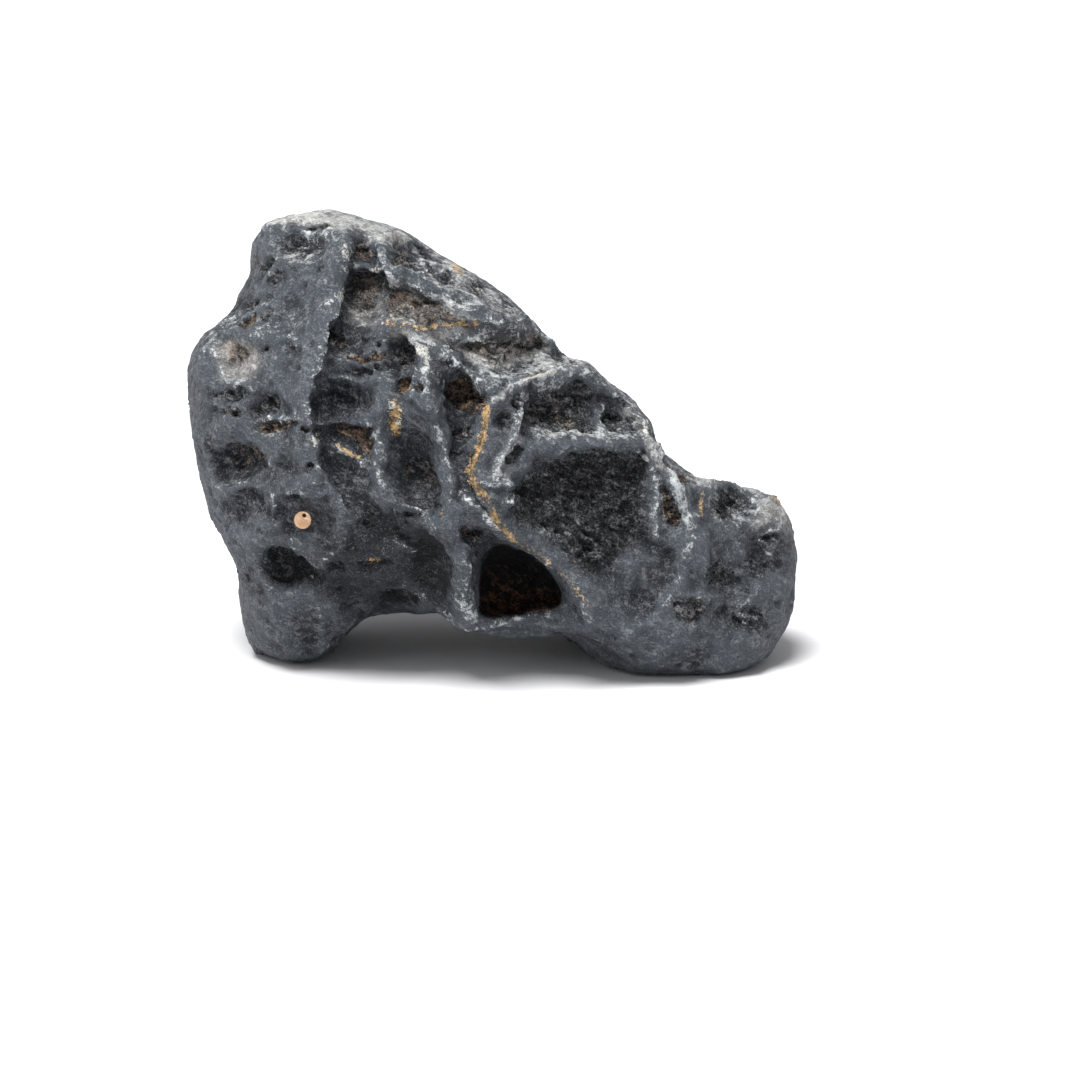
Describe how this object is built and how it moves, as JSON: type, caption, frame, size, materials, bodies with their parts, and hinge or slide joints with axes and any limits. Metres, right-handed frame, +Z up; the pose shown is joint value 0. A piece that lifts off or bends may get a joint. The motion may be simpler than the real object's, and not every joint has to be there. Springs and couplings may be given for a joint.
{
  "type": "hakkai stone",
  "caption": "Blue-black, water-worn hardscape rock: a tall pitted butt tapering to a low snout, with a scooped pocket and an arch under it, standing on worn soles.",
  "frame": {"origin": "centre of the bounding box on the surface the stone rests on", "axes": "+X along the length, from the tall butt to the low snout; -Y towards the front with the pocket; +Z up"},
  "size_m": [0.2562, 0.1524, 0.1845],
  "materials": {
    "stone": "matte, worn smooth on its ridges"
  },
  "bodies": {
    "root": {"stone": "stone"}
  },
  "joints": []
}
